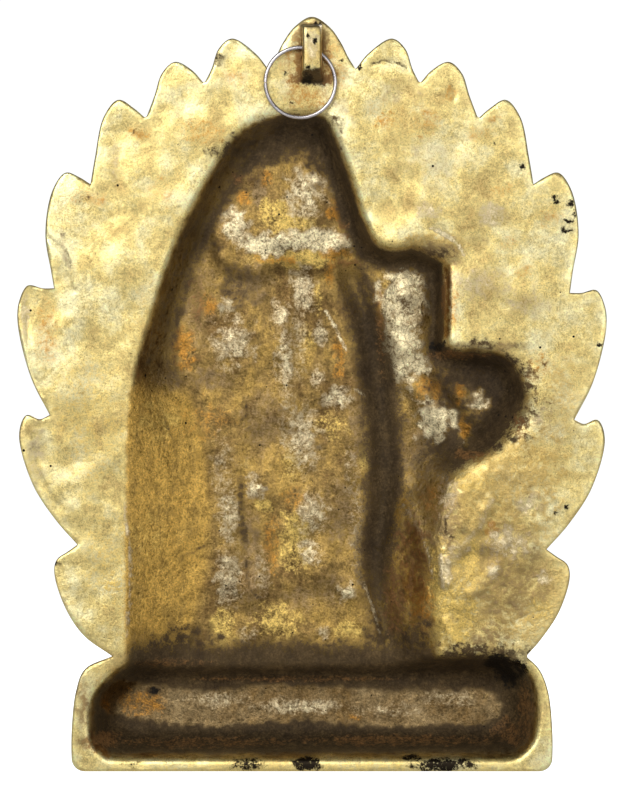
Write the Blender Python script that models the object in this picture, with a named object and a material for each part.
# Cast brass wall hanging of a robed deity in a border of flames, with a steel ring to hang it by.
# One casting makes the plate, the hollow-backed figure, the hollow pedestal and the pierced lug.
#
# Frame: metres, +Z up. The deity faces -Y and its hollow back faces +Y. The origin is the point in
# the lug's eye where the ring's wire crosses the middle of the lug.
#
# Shapes are drawn as seen from behind, in millimetres: "across" runs to the right there, which is -X,
# and "up" is +Z. Free forms are drawn at the design height and follow the plaque's own height.

import math

import bmesh
import bpy
import numpy as np
from mathutils.geometry import delaunay_2d_cdt

MM = 0.001

# Plaque
PLAQUE_HEIGHT = 259.0
DESIGN_HEIGHT = 259.0
PLATE_THICKNESS = 3.5
WALL = 3.0
EDGE_BAND = 1.5
FIGURE_DEPTH = 13.5
PEDESTAL_DEPTH = 20.0

# Ring
RING_OUTSIDE = 25.4
RING_WIRE = 1.4
RING_SIDE_SHIFT = 4.0

# Lug and its eye
LUG_WIDTH = 6.2
LUG_ROOT_WIDTH = 8.0
LUG_LEG = 4.0
LUG_TOP_SLOPE = 2.0
LUG_BOTTOM_SLOPE = 4.4
STRAP_THICKNESS = 3.0
EYE_CLEARANCE = 0.4
EYE_SIDES = 16

# Mesh fineness
GRID_REACH = 105.0
OUTLINE_STEP = 3.2
FIGURE_STEP = 3.6
PLATE_STEP = 7.5
HOLLOW_STEP = 4.8
HALO_STEP = 6.0
LINE_STEP = 4.0
RING_SEGMENTS = 40
WIRE_SIDES = 8

# Carving
FOLDS = 8
FOLD_HALF_WIDTH = 4.2
FINGERS = 4
HALO_HALF_WIDTH = 3.0
HALO_HEIGHT = 1.8
GROOVE_DEPTH = 2.0
STOLE_HEIGHT = 3.2
PETAL_CUT = 1.2

SCALE = PLAQUE_HEIGHT / DESIGN_HEIGHT
TIP_HEIGHT = 11.5
BOTTOM = TIP_HEIGHT - DESIGN_HEIGHT

# Border of flames on one side, from the top down: the notch above each tongue, then the points that
# its edge runs through, as (distance from the centre line, up).
TOP_FLAME = [(0.0, 11.5), (6.0, 8.0), (10.0, 2.5), (12.5, -2.5)]
TONGUES = [
    [(15.0, -6.5), (19.5, -1.0), (27.5, 4.0), (32.0, 0.5), (34.5, -6.5)],
    [(37.0, -11.5), (41.0, -7.0), (47.0, -4.0), (51.5, -8.0), (54.0, -15.5)],
    [(57.0, -23.5), (61.0, -20.0), (66.5, -17.0), (71.5, -23.0), (74.5, -37.0)],
    [(76.0, -46.0), (80.0, -43.5), (84.5, -42.0), (89.0, -48.0), (91.5, -63.0), (89.5, -76.0)],
    [(88.5, -82.5), (92.5, -82.5), (97.5, -81.5), (100.5, -87.0), (101.0, -94.5), (96.5, -113.0)],
    [(90.0, -126.0), (93.5, -127.5), (98.0, -126.0), (100.5, -132.5), (96.0, -149.5), (88.0, -162.0)],
    [(80.5, -170.5), (84.0, -173.0), (87.5, -175.5), (88.5, -179.5), (85.0, -191.5), (78.5, -201.5)],
]
PEDESTAL_SIDE = [(71.0, -208.0), (78.0, -212.5), (81.0, -220.0), (82.5, -234.0), (82.5, -243.0)]
PEDESTAL_CORNER = 4.5
LOW_TONGUE = 4
LOW_TONGUE_LIFT = 0.8
PEDESTAL_NOTCH_SHIFT = 2.5

# Rim of the hollow behind the figure, clockwise from the top, as (across, up, run of the wall below
# the rim). Each list runs from one corner of the rim to the next.
FIGURE_RIM = [
    [(-63.0, -224.5, 3), (-64.0, -202.5, 22), (-64.0, -161.0, 32), (-63.0, -122.0, 24),
     (-60.5, -108.0, 14), (-56.5, -96.0, 9), (-46.5, -65.0, 9), (-32.0, -37.5, 10), (-24.5, -27.5, 12),
     (-14.0, -22.5, 13), (-3.0, -21.5, 13), (4.0, -22.5, 11), (8.5, -31.0, 8), (14.5, -48.0, 7),
     (18.0, -58.5, 7), (22.0, -66.0, 7), (27.5, -68.5, 6), (35.5, -68.0, 6), (45.5, -73.0, 5)],
    [(45.5, -73.0, 4.5), (46.0, -86.0, 4.5), (45.5, -101.0, 4.5)],
    [(45.5, -101.0, 5), (49.0, -103.0, 6), (57.5, -103.0, 7), (65.0, -104.5, 8), (71.0, -110.0, 8),
     (74.0, -119.0, 9)],
    [(74.0, -119.0, 9), (69.0, -128.5, 10), (63.5, -136.5, 10), (54.0, -142.5, 11), (47.5, -151.0, 12),
     (44.0, -164.5, 13), (43.0, -202.5, 12), (43.0, -224.5, 3)],
    [(43.0, -224.5, 3), (-63.0, -224.5, 3)],
]
PEDESTAL_RIM = [
    [(-75.5, -238.0, 8), (-75.5, -223.0, 9), (-67.5, -213.5, 9), (-60.0, -209.0, 8)],
    [(-60.0, -209.0, 8), (67.0, -208.0, 8)],
    [(67.0, -208.0, 8), (75.5, -215.5, 9), (75.8, -236.0, 9), (70.5, -242.5, 7)],
    [(70.5, -242.5, 7), (-70.5, -242.5, 7)],
    [(-70.5, -242.5, 7), (-75.5, -238.0, 8)],
]

# The stole that hangs from the raised arm. It shows behind as a groove in the hollow's floor.
STOLE = [(13.0, -72.0), (23.5, -100.0), (27.0, -125.0), (24.5, -150.0), (21.0, -180.0), (25.0, -206.0)]


def smooth_run(points, step):
    """Points along a smooth curve through these, without the last one."""
    points = np.asarray(points, float)
    steps = np.diff(points, axis=0)
    spans = np.linalg.norm(steps[:, :2], axis=1)[:, None] ** 0.5
    slopes = steps / spans
    middle = (slopes[1:] * spans[:-1] + slopes[:-1] * spans[1:]) / (spans[:-1] + spans[1:])
    tangents = np.vstack([slopes[:1], middle, slopes[-1:]])
    pieces = []
    for i, span in enumerate(spans):
        count = max(1, math.ceil(span[0] ** 2 / step))
        t = np.arange(count)[:, None] / count
        start = (2 * t**3 - 3 * t**2 + 1) * points[i] + (t**3 - 2 * t**2 + t) * span * tangents[i]
        end = (3 * t**2 - 2 * t**3) * points[i + 1] + (t**3 - t**2) * span * tangents[i + 1]
        pieces.append(start + end)
    return np.vstack(pieces)


def closed_line(runs, step):
    return np.vstack([smooth_run(run, step) for run in runs])


def tongue_on_side(number, points, side):
    """One tongue on one side: +1 is the right as seen from behind. The low ones were cut a little askew."""
    lift = 0.0 if number < LOW_TONGUE else -side * LOW_TONGUE_LIFT
    return [(side * across, up + lift) for across, up in points]


def outline_side(side):
    """Corner-to-corner runs of the plaque's edge, from the top tip down to the pedestal's foot."""
    tongues = [tongue_on_side(i, points, side) for i, points in enumerate(TONGUES)]
    top = [(side * across, up) for across, up in TOP_FLAME]
    foot = [(side * across, up) for across, up in PEDESTAL_SIDE]
    foot[0] = (foot[0][0] + PEDESTAL_NOTCH_SHIFT, foot[0][1])
    runs = [tongue + [after[0]] for tongue, after in zip(tongues, tongues[1:] + [foot])]
    inset = PEDESTAL_CORNER
    corner = [
        (foot[-1][0] - side * inset * (1 - math.cos(turn)), BOTTOM + inset * (1 - math.sin(turn)))
        for turn in np.linspace(0, math.pi / 2, 4)
    ]
    return top, runs, foot[:-1] + corner


def plaque_outline(step):
    """The plaque's edge, clockwise as seen from behind, from the foot on the left."""
    left_top, left_runs, left_foot = outline_side(-1)
    right_top, right_runs, right_foot = outline_side(1)
    runs = [left_foot[::-1]]
    runs += [run[::-1] for run in reversed(left_runs)]
    runs.append([left_runs[0][0]] + left_top[::-1] + right_top[1:] + [right_runs[0][0]])
    runs += right_runs
    runs.append(right_foot)
    runs.append([right_foot[-1], left_foot[-1]])
    return closed_line(runs, step)


def inside(points, line):
    found = np.zeros(len(points), bool)
    for (x0, y0), (x1, y1) in zip(line[:, :2], np.roll(line[:, :2], -1, axis=0)):
        if y0 == y1:
            continue
        spans = (y0 > points[:, 1]) != (y1 > points[:, 1])
        found ^= spans & (points[:, 0] < x0 + (points[:, 1] - y0) * (x1 - x0) / (y1 - y0))
    return found


def to_segment(points, start, end):
    """Distance of each point from a segment, and how far along it the nearest place is, 0 to 1."""
    way = end - start
    along = np.clip((points - start) @ way / max(way @ way, 1e-12), 0, 1)
    return np.linalg.norm(points - start - along[:, None] * way, axis=1), along


def to_line(points, line, closed=False):
    line = np.asarray(line, float)[:, :2]
    ends = np.roll(line, -1, axis=0) if closed else line[1:]
    return np.min([to_segment(points, a, b)[0] for a, b in zip(line, ends)], axis=0)


def hollow(points, rim):
    """Share of its full depth, 0 to 1, that a hollow with this rim has at each point."""
    share = np.ones(len(points))
    for a, b in zip(rim, np.roll(rim, -1, axis=0)):
        away, along = to_segment(points, a[:2], b[:2])
        run = a[2] + along * (b[2] - a[2])
        share = np.minimum(share, 1 - (1 - np.clip(away / run, 0, 1)) ** (1.15 + 9 / run))
    return np.where(inside(points, rim), share, 0)


def grown(rim, by):
    """The rim moved outwards, without the points that would cross over at an inner corner."""
    way = np.roll(rim, -1, axis=0)[:, :2] - np.roll(rim, 1, axis=0)[:, :2]
    out = np.stack([-way[:, 1], way[:, 0]], axis=1) / np.linalg.norm(way, axis=1)[:, None]
    moved = rim.copy()
    moved[:, :2] += by * out
    return moved[to_line(moved[:, :2], rim, closed=True) >= 0.97 * by]


def ridge(points, line, half_width, height):
    """A rounded ridge along a line."""
    away = to_line(points, line) / half_width
    return height * np.clip(1 - away**2, 0, 1) ** 1.5


def mound(points, centre, radii, height):
    """A rounded mound with an oval outline."""
    away = ((points - centre) / radii) ** 2
    return height * np.clip(1 - away.sum(axis=1), 0, 1)


def fold_line(number):
    """A fold of the robe below the waist. They spread towards the hem, and halves lie between folds."""
    waist = -34.0 + 8.5 * number
    hem = -50.0 + 12.0 * number
    sway = 2.0 * math.sin(2.1 * number)
    return [(waist, -149.0), ((waist + hem) / 2 + sway, -175.0), (hem, -204.0)]


def finger_line(number):
    """A finger of the raised hand, from the palm up. Halves lie between fingers."""
    across = 28.0 + 3.7 * number
    return [(across, -90.0), (across, -73.5 - 1.4 * abs(number - 1.5) ** 1.5)]


def halo_line(away=0.0):
    """The plain band inside the flames, level with their notches, or a line this far outside its middle."""
    notches = [tongue[0] for tongue in TONGUES[1:]]
    right = [(0.91 * across, up - 2.5) for across, up in notches]
    left = [(-across, up) for across, up in right]
    line = smooth_run(left[::-1] + right, HALO_STEP)
    way = np.gradient(line, axis=0)
    out = np.stack([-way[:, 1], way[:, 0]], axis=1) / np.linalg.norm(way, axis=1)[:, None]
    return line + away * out


def figure_carving(points):
    """What stands proud of the plain robed form."""
    carved = [
        mound(points, (-7.0, -54.0), (11.0, 15.0), 4.5),
        mound(points, (-4.0, -34.0), (12.0, 13.0), 3.6),
        mound(points, (-18.5, -57.0), (3.2, 7.0), 3.0),
        mound(points, (4.5, -57.0), (3.2, 7.0), 3.0),
        ridge(points, [(-20.0, -43.0), (-7.0, -40.5), (6.5, -43.0)], 3.4, 4.6),
        ridge(points, [(-20.0, -74.0), (-14.0, -81.0), (-7.0, -83.5), (0.0, -81.0), (6.0, -74.0)], 2.6, 3.0),
        mound(points, (-8.0, -94.0), (32.0, 28.0), 3.2),
        mound(points, (33.5, -95.0), (9.0, 11.5), 4.8),
        ridge(points, [(27.0, -99.0), (24.5, -90.0)], 2.6, 4.4),
        ridge(points, [(12.0, -92.0), (34.0, -112.0), (60.0, -121.0)], 11.0, 3.6),
        ridge(points, [(62.0, -119.0), (46.0, -112.0), (35.0, -104.0)], 8.0, 4.8),
        ridge(points, [(60.0, -126.0), (47.0, -139.0), (37.0, -168.0)], 5.0, 3.6),
        ridge(points, [(-35.0, -94.0), (-46.0, -120.0), (-31.0, -137.0), (-15.0, -135.0)], 8.5, 4.2),
        mound(points, (-12.0, -134.0), (7.0, 6.0), 5.0),
        mound(points, (-8.0, -125.0), (5.0, 5.0), 4.6),
        ridge(points, [(-36.0, -147.0), (-8.0, -151.0), (28.0, -147.0)], 3.2, 3.4),
        ridge(points, [(-31.0, -46.0), (-47.0, -82.0), (-56.0, -122.0), (-57.5, -204.0)], 4.2, 3.2),
        ridge(points, [(-8.0, -150.0), (-6.0, -190.0)], 5.0, 4.2),
    ]
    carved.append(ridge(points, STOLE, 7.5, STOLE_HEIGHT))
    carved += [ridge(points, finger_line(number), 2.1, 5.0) for number in range(FINGERS)]
    carved += [ridge(points, fold_line(number), FOLD_HALF_WIDTH, 2.8) for number in range(FOLDS)]
    return np.max(carved, axis=0)


def petal_grooves(points):
    """Cuts between the pedestal's petals, and the line below them."""
    pitch = 15.0
    from_middle = np.abs((points[:, 0] / pitch) % 1 - 0.5) * pitch
    lean = np.clip((points[:, 1] + 234.0) / 20.0, 0, 1)
    cut = np.clip(1 - np.abs(from_middle - 0.5 * pitch * (1 - 0.55 * lean**3)) / 1.4, 0, 1)
    above = points[:, 1] > -234.0
    below = np.clip(1 - np.abs(points[:, 1] + 235.0) / 1.4, 0, 1)
    return PETAL_CUT * np.where(above, cut, below)


def front_height(points):
    """Height of the front over the plate's back plane, in millimetres."""
    figure_rim = grown(closed_line(FIGURE_RIM, OUTLINE_STEP), WALL / SCALE)
    pedestal_rim = grown(closed_line(PEDESTAL_RIM, OUTLINE_STEP), WALL / SCALE)
    figure = hollow(points, figure_rim)
    pedestal = hollow(points, pedestal_rim)
    robed = FIGURE_DEPTH * figure + figure_carving(points) * np.clip(2 * figure - 0.6, 0, 1)
    stand = PEDESTAL_DEPTH * pedestal - petal_grooves(points) * np.clip(4 * pedestal - 3, 0, 1)
    halo = ridge(points, halo_line(), HALO_HALF_WIDTH, HALO_HEIGHT)
    from_edge = to_line(points, plaque_outline(OUTLINE_STEP), closed=True)
    return PLATE_THICKNESS + np.max([robed, stand, halo], axis=0) * np.clip(from_edge / EDGE_BAND, 0, 1)


def floor_shape(points):
    """How far the floor behind the figure lies from its even depth: more is deeper."""
    groove = ridge(points, STOLE, 5.0, GROOVE_DEPTH)
    head = mound(points, (-10.0, -50.0), (26.0, 20.0), 3.0)
    forearm = mound(points, (33.0, -95.0), (9.0, 24.0), 3.0)
    elbow = ridge(points, [(44.0, -119.0), (54.0, -134.0)], 5.0, 3.4)
    return groove - np.max([head, forearm, elbow], axis=0)


def back_depth(points):
    """Depth of the hollow back below the plate's back plane, in millimetres."""
    figure = hollow(points, closed_line(FIGURE_RIM, OUTLINE_STEP))
    pedestal = hollow(points, closed_line(PEDESTAL_RIM, OUTLINE_STEP))
    floor = FIGURE_DEPTH + floor_shape(points) * np.clip(2 * figure - 1, 0, 1)
    return np.maximum(figure * floor, pedestal * PEDESTAL_DEPTH)


def staggered_grid(step):
    """Points a step apart in staggered rows over the whole plaque."""
    rows = np.arange(BOTTOM, TIP_HEIGHT, step * math.sqrt(3) / 2)
    return np.array([
        (across + (row % 2) * step / 2, up)
        for row, up in enumerate(rows)
        for across in np.arange(-GRID_REACH, GRID_REACH, step)
    ])


def apart(points, keep_off, gap):
    """The points that are further than gap from every keep_off point."""
    nearest = [np.linalg.norm(keep_off - point, axis=1).min() for point in points]
    return points[np.array(nearest) > gap]


def thinned(points, keep_off, gap):
    """The points in order, without those nearer than gap to a keep_off point or to a point already kept."""
    kept = [*keep_off]
    for point in points:
        if np.linalg.norm(np.array(kept) - point, axis=1).min() > gap:
            kept.append(point)
    return np.array(kept[len(keep_off):]).reshape(-1, 2)


def wall_lines(rim, shares):
    """Lines of points down the wall below a rim, at these shares of its run."""
    lines = []
    for share in shares:
        way = np.roll(rim, -1, axis=0)[:, :2] - np.roll(rim, 1, axis=0)[:, :2]
        inwards = np.stack([way[:, 1], -way[:, 0]], axis=1) / np.linalg.norm(way, axis=1)[:, None]
        moved = rim[:, :2] + share * rim[:, 2:] * inwards
        wanted = 1 - (1 - share) ** (1.15 + 9 / rim[:, 2])
        lines.append(moved[np.abs(hollow(moved, rim) - wanted) < 0.06])
    return lines


def triangulated(outline, lines, extra):
    """Triangles inside a closed outline, keeping to the lines: (points, triangles, outline's places)."""
    edges = [(i, (i + 1) % len(outline)) for i in range(len(outline))]
    first = len(outline)
    for line in lines:
        ends = zip(line, np.roll(line, -1, axis=0))
        near = [np.linalg.norm(b - a) < 2 * OUTLINE_STEP for a, b in ends]
        edges += [(first + i, first + (i + 1) % len(line)) for i, joined in enumerate(near) if joined]
        first += len(line)
    vertices = np.vstack([outline, *lines, extra])
    points, _, faces, origins, _, _ = delaunay_2d_cdt([tuple(v) for v in vertices], edges, [], 1, 1e-6)
    place = {source: new for new, sources in enumerate(origins) for source in sources}
    return np.array(points), faces, [place[i] for i in range(len(outline))]


def form_rims(by):
    """The rims of the figure and the pedestal, grown by this much."""
    return [grown(closed_line(rim, OUTLINE_STEP), by) for rim in (FIGURE_RIM, PEDESTAL_RIM)]


def in_form(points, by):
    figure, pedestal = form_rims(by)
    return inside(points, figure) | inside(points, pedestal)


def form_lines(outline, by, shares):
    """Rims of the two forms grown by this much, each without its part in the other, then their walls."""
    figure, pedestal = form_rims(by)
    figure_walls = wall_lines(figure, shares)
    pedestal_walls = wall_lines(pedestal, shares)
    rims = [
        figure[~inside(figure, pedestal)][:, :2],
        pedestal[~inside(pedestal, figure)][:, :2],
    ]
    rims = [rim[to_line(rim, outline, closed=True) > EDGE_BAND] for rim in rims]
    walls = [line[hollow(line, pedestal) == 0] for line in figure_walls]
    walls += [line[~inside(line, figure)] for line in pedestal_walls]
    return rims, np.vstack(walls)


def back_surface(outline):
    rims, walls = form_lines(outline, 0.0, (0.35, 1.0))
    fixed = np.vstack([outline, *rims])
    walls = thinned(walls, fixed, 0.4 * HOLLOW_STEP)
    lines = thinned(smooth_run(STOLE, LINE_STEP), np.vstack([fixed, walls]), 0.4 * HOLLOW_STEP)
    extra = np.vstack([walls, lines])
    grid = staggered_grid(HOLLOW_STEP)
    grid = apart(grid[in_form(grid, 0.0)], np.vstack([fixed, extra]), 0.5 * HOLLOW_STEP)
    points, faces, edge = triangulated(outline, rims, np.vstack([extra, grid]))
    return points, -back_depth(points), faces, edge


def carving_lines():
    """Points along the crests and valleys of the folds, fingers and stole, and along the halo."""
    folds = [smooth_run(fold_line(number / 2), LINE_STEP) for number in range(2 * FOLDS - 1)]
    fingers = [smooth_run([*finger_line(number / 2)], LINE_STEP) for number in range(2 * FINGERS - 1)]
    halo = [halo_line(away) for away in (-HALO_HALF_WIDTH, 0.0, HALO_HALF_WIDTH)]
    return np.vstack(folds + fingers + [smooth_run(STOLE, LINE_STEP)]), np.vstack(halo)


def front_surface(outline):
    wall = WALL / SCALE
    rims, walls = form_lines(outline, wall, (0.35, 0.9))
    fixed = np.vstack([outline, *rims])
    walls = thinned(walls, fixed, 0.45 * FIGURE_STEP)
    carving, halo = carving_lines()
    carving = thinned(carving[in_form(carving, wall)], np.vstack([fixed, walls]), 0.45 * FIGURE_STEP)
    halo = thinned(halo[inside(halo, outline) & ~in_form(halo, wall)], fixed, 0.45 * FIGURE_STEP)
    extra = np.vstack([walls, carving, halo])
    fine = staggered_grid(FIGURE_STEP)
    fine = apart(fine[in_form(fine, wall)], np.vstack([fixed, extra]), 0.5 * FIGURE_STEP)
    coarse = staggered_grid(PLATE_STEP)
    coarse = coarse[inside(coarse, outline) & ~in_form(coarse, wall)]
    coarse = apart(coarse, np.vstack([fixed, extra]), 0.5 * PLATE_STEP)
    points, faces, edge = triangulated(outline, rims, np.vstack([extra, fine, coarse]))
    return points, -front_height(points), faces, edge


def plate_back_y():
    """Where the plate's back plane is, so that the wire in the eye is at the origin."""
    return -(RING_WIRE / 2 + EYE_CLEARANCE + wire_rise(LUG_ROOT_WIDTH / 2) + EYE_CLEARANCE)


def ring_radius():
    return (RING_OUTSIDE - RING_WIRE) / 2


def wire_rise(across):
    """How far the wire's middle is above its crossing at the origin, this far out on the ring's own side."""
    drop = math.sqrt(ring_radius() ** 2 - RING_SIDE_SHIFT**2)
    reach = min(across, RING_SIDE_SHIFT)
    return math.sqrt(ring_radius() ** 2 - (RING_SIDE_SHIFT - reach) ** 2) - drop


def wire_fall(across):
    """How far the wire's middle is below its crossing at the origin, this far out on the other side."""
    drop = math.sqrt(ring_radius() ** 2 - RING_SIDE_SHIFT**2)
    return drop - math.sqrt(ring_radius() ** 2 - (RING_SIDE_SHIFT + across) ** 2)


def eye_reach():
    """How far the eye reaches from the origin, up, down and under the strap, to clear the swinging wire."""
    return RING_WIRE / 2 + EYE_CLEARANCE + wire_fall(LUG_ROOT_WIDTH / 2)


def material(name, colour, roughness):
    made = bpy.data.materials.new(name)
    made.use_nodes = True
    shader = made.node_tree.nodes["Principled BSDF"]
    shader.inputs["Base Color"].default_value = (*colour, 1)
    shader.inputs["Metallic"].default_value = 1
    shader.inputs["Roughness"].default_value = roughness
    return made


def new_object(name, mesh, finish=None):
    made = bpy.data.objects.new(name, mesh)
    bpy.context.scene.collection.objects.link(made)
    if finish:
        mesh.materials.append(finish)
    return made


def height_of(up):
    """Height over the origin. The top flame's tip keeps its height over the eye whatever the plaque's size."""
    return TIP_HEIGHT + (up - TIP_HEIGHT) * SCALE


def relief_mesh():
    """Front and back of the casting, sewn together round the outline."""
    outline = plaque_outline(OUTLINE_STEP)
    back, back_y, back_faces, back_edge = back_surface(outline)
    front, front_y, front_faces, front_edge = front_surface(outline)
    plane = plate_back_y()
    bm = bmesh.new()
    sheets = []
    for points, heights in ((back, back_y), (front, front_y)):
        sheets.append([
            bm.verts.new((-across * SCALE * MM, (plane + y) * MM, height_of(up) * MM))
            for (across, up), y in zip(points, heights)
        ])
    for sheet, faces in zip(sheets, (back_faces, front_faces)):
        for face in faces:
            bm.faces.new([sheet[i] for i in face])
    count = len(outline)
    for i in range(count):
        j = (i + 1) % count
        bm.faces.new([
            sheets[0][back_edge[i]], sheets[0][back_edge[j]],
            sheets[1][front_edge[j]], sheets[1][front_edge[i]],
        ])
    bmesh.ops.recalc_face_normals(bm, faces=bm.faces)
    mesh = bpy.data.meshes.new("plaque")
    bm.to_mesh(mesh)
    bm.free()
    return mesh


def prism(name, profile, half_widths):
    """A solid with this profile in Y and Z, and a half width in X for each of its points."""
    bm = bmesh.new()
    left = [bm.verts.new((-w * MM, y * MM, z * MM)) for (y, z), w in zip(profile, half_widths)]
    right = [bm.verts.new((w * MM, y * MM, z * MM)) for (y, z), w in zip(profile, half_widths)]
    bm.faces.new(left)
    bm.faces.new(right)
    for i in range(len(profile)):
        j = (i + 1) % len(profile)
        bm.faces.new([left[i], left[j], right[j], right[i]])
    bmesh.ops.recalc_face_normals(bm, faces=bm.faces)
    mesh = bpy.data.meshes.new(name)
    bm.to_mesh(mesh)
    bm.free()
    made = new_object(name, mesh)
    made.hide_render = True
    made.display_type = "WIRE"
    return made


def lug_block():
    """The lug before its eye is cut, with its root sunk half way into the plate."""
    plane = plate_back_y()
    root_y = plane - PLATE_THICKNESS / 2
    face_y = eye_reach() + STRAP_THICKNESS
    face_z = eye_reach() + LUG_LEG
    root_top, root_bottom = face_z + LUG_TOP_SLOPE, -face_z - LUG_BOTTOM_SLOPE
    profile = [
        (root_y, root_top), (plane, root_top), (face_y, face_z),
        (face_y, -face_z), (plane, root_bottom), (root_y, root_bottom),
    ]
    root, face = LUG_ROOT_WIDTH / 2, LUG_WIDTH / 2
    return prism("lug_block", profile, [root, root, face, face, root, root])


def eye_cutter():
    """A stadium-shaped bar along X, from just over the plate to the strap's underside."""
    low = plate_back_y() + EYE_CLEARANCE
    high = eye_reach()
    radius = (high - low) / 2
    profile = []
    for number in range(EYE_SIDES):
        turn = 2 * math.pi * (number + 0.5) / EYE_SIDES
        z = radius * math.cos(turn) + math.copysign(eye_reach() - radius, math.cos(turn))
        profile.append(((low + high) / 2 + radius * math.sin(turn), z))
    return prism("eye_cutter", profile, [LUG_ROOT_WIDTH] * EYE_SIDES)


def boolean(target, other, operation):
    modifier = target.modifiers.new(other.name, "BOOLEAN")
    modifier.operation = operation
    modifier.solver = "EXACT"
    modifier.object = other


def hanging_ring(finish):
    """The wire ring, hanging down through the eye and a little to one side, as it was left."""
    bm = bmesh.new()
    radius = ring_radius()
    drop = math.sqrt(radius**2 - RING_SIDE_SHIFT**2)
    centre = np.array([RING_SIDE_SHIFT, 0, -drop])
    rings = []
    for number in range(RING_SEGMENTS):
        turn = 2 * math.pi * number / RING_SEGMENTS
        out = np.array([math.cos(turn), 0, math.sin(turn)])
        rings.append([
            bm.verts.new(MM * (
                centre
                + out * (radius + RING_WIRE / 2 * math.cos(side))
                + np.array([0, RING_WIRE / 2 * math.sin(side), 0])
            ))
            for side in np.linspace(0, 2 * math.pi, WIRE_SIDES, endpoint=False)
        ])
    for ring, after in zip(rings, rings[1:] + rings[:1]):
        for i in range(WIRE_SIDES):
            j = (i + 1) % WIRE_SIDES
            bm.faces.new([ring[i], ring[j], after[j], after[i]])
    bmesh.ops.recalc_face_normals(bm, faces=bm.faces)
    mesh = bpy.data.meshes.new("hanging_ring")
    bm.to_mesh(mesh)
    bm.free()
    mesh.shade_smooth()
    return new_object("hanging_ring", mesh, finish)


def build():
    for old in list(bpy.data.objects):
        bpy.data.objects.remove(old)
    brass = material("cast_brass", (0.78, 0.60, 0.28), 0.42)
    steel = material("steel_wire", (0.72, 0.71, 0.72), 0.22)
    plaque = new_object("plaque", relief_mesh(), brass)
    lug = lug_block()
    boolean(lug, eye_cutter(), "DIFFERENCE")
    boolean(plaque, lug, "UNION")
    hanging_ring(steel)


build()
